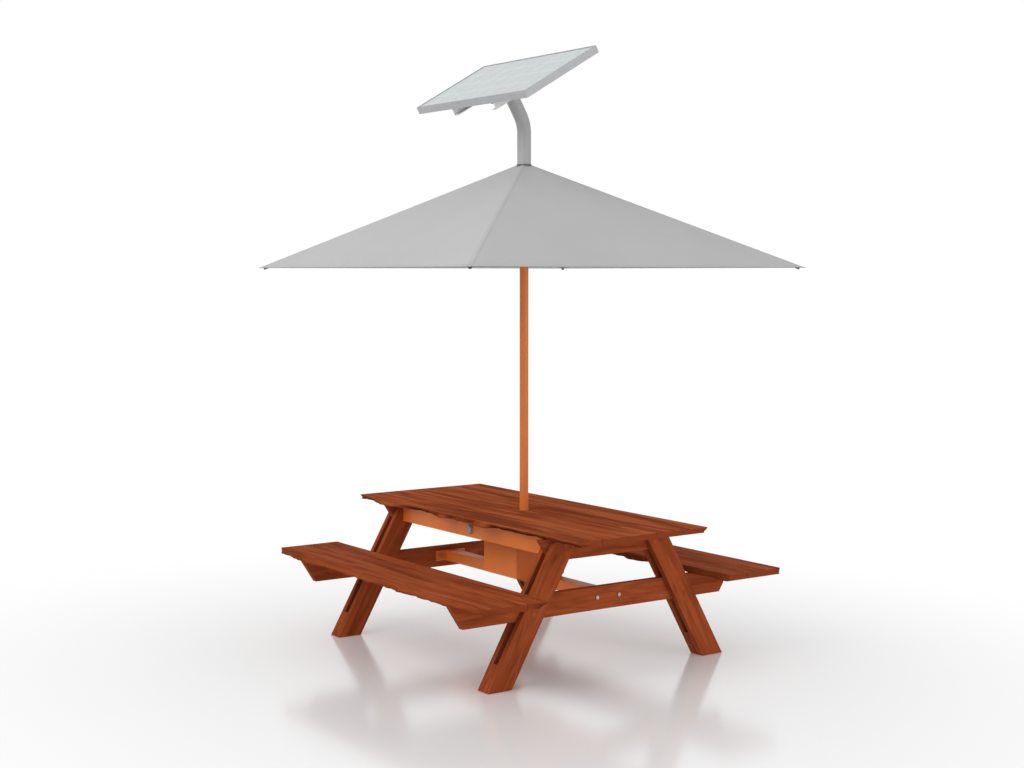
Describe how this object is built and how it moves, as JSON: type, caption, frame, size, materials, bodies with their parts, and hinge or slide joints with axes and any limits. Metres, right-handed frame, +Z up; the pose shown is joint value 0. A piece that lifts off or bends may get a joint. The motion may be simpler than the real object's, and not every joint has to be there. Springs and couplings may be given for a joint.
{
  "type": "charging picnic table",
  "caption": "Timber picnic table with live edge planks, a steel under frame, a cabinet, charging sockets, a square canopy on a mast and a tilted solar panel on top.",
  "frame": {"origin": "on the floor under the mast's axis, in the middle of the canopy", "axes": "+X along the table towards the trestle nearer the camera, +Y across it towards the right bench, +Z up"},
  "size_m": [2.14, 2.14, 3.2326],
  "materials": {
    "timber": "reddish brown varnish, satin, with dark streaks",
    "fastener_steel": "zinc plated",
    "orange_paint": "orange powder coat, semi gloss",
    "dark_grey_paint": "dark grey powder coat",
    "grey_paint": "light grey powder coat, semi gloss",
    "canopy_cloth": "stretched light grey coated cloth",
    "bare_aluminium": "anodised, satin",
    "panel_glass": "pale laminated glass over cells",
    "black_plastic": "moulded, matt",
    "black_rubber": "matt",
    "grey_plastic": "moulded, satin",
    "lock_metal": "nickel plated",
    "zinc_plate": "zinc plated sheet",
    "battery_plastic": "moulded, matt",
    "dark_anodised": "dark anodised",
    "red_plastic": "moulded, glossy"
  },
  "bodies": {
    "table": {"top_plank_1": "timber", "top_plank_2": "timber", "top_plank_3": "timber", "top_plank_4": "timber", "top_plank_5": "timber", "left_bench_inner_plank": "timber", "left_bench_outer_plank": "timber", "right_bench_inner_plank": "timber", "right_bench_outer_plank": "timber", "leg_front_left_outer": "timber", "leg_front_left_inner": "timber", "leg_front_right_outer": "timber", "leg_front_right_inner": "timber", "leg_back_left_outer": "timber", "leg_back_left_inner": "timber", "leg_back_right_outer": "timber", "leg_back_right_inner": "timber", "leg_spacers": "timber", "seat_beam_front": "timber", "seat_beam_back": "timber", "top_beam_front": "timber", "top_beam_back": "timber", "leg_bolts": "fastener_steel", "bolt_plugs": "timber", "plank_screws": "fastener_steel", "side_channel_left": "orange_paint", "side_channel_right": "orange_paint", "channel_screws": "fastener_steel", "cross_members": "orange_paint", "mast_collar": "orange_paint", "lower_rail": "orange_paint", "frame_bolts": "fastener_steel", "mast": "orange_paint", "mast_grommet": "black_rubber", "canopy_hub": "dark_grey_paint", "canopy_ribs": "dark_grey_paint", "rib_end_caps": "black_plastic", "canopy": "canopy_cloth", "upper_pole": "grey_paint", "panel_rails": "bare_aluminium", "panel_cross_tube": "bare_aluminium", "panel_frame": "bare_aluminium", "panel_glass": "panel_glass", "junction_box": "black_plastic", "panel_bolts": "fastener_steel", "cabinet_shell": "orange_paint", "door_hinge_pins": "fastener_steel", "equipment_plate": "zinc_plate", "battery": "battery_plastic", "charge_controller": "dark_anodised", "isolator_base": "black_plastic", "usb_sockets": "grey_plastic"},
    "door": {"cabinet_door": "orange_paint", "door_seal": "black_rubber", "lock_housing": "lock_metal"},
    "lock": {"lock_plug": "lock_metal"},
    "isolator": {"isolator_knob": "red_plastic"},
    "left_cap": {"left_socket_cap": "grey_plastic"},
    "right_cap": {"right_socket_cap": "grey_plastic"}
  },
  "joints": [
    {"name": "door_hinge", "type": "hinge", "parent": "table", "child": "door", "pos_m": [-0.161, 0.1645, 0.524], "axis": [0, 0, 1], "range_deg": [0, 110]},
    {"name": "lock_turn", "type": "hinge", "parent": "door", "child": "lock", "pos_m": [0.13, 0.165, 0.524], "axis": [0, 1, 0], "range_deg": [0, 90]},
    {"name": "isolator_turn", "type": "hinge", "parent": "table", "child": "isolator", "pos_m": [0.09, 0.06, 0.524], "axis": [0, 1, 0], "range_deg": [0, 90]},
    {"name": "left_cap_hinge", "type": "hinge", "parent": "table", "child": "left_cap", "pos_m": [-0.02, -0.348, 0.692], "axis": [-1, 0, 0], "range_deg": [0, 100]},
    {"name": "right_cap_hinge", "type": "hinge", "parent": "table", "child": "right_cap", "pos_m": [-0.02, 0.348, 0.692], "axis": [1, 0, 0], "range_deg": [0, 100]}
  ]
}
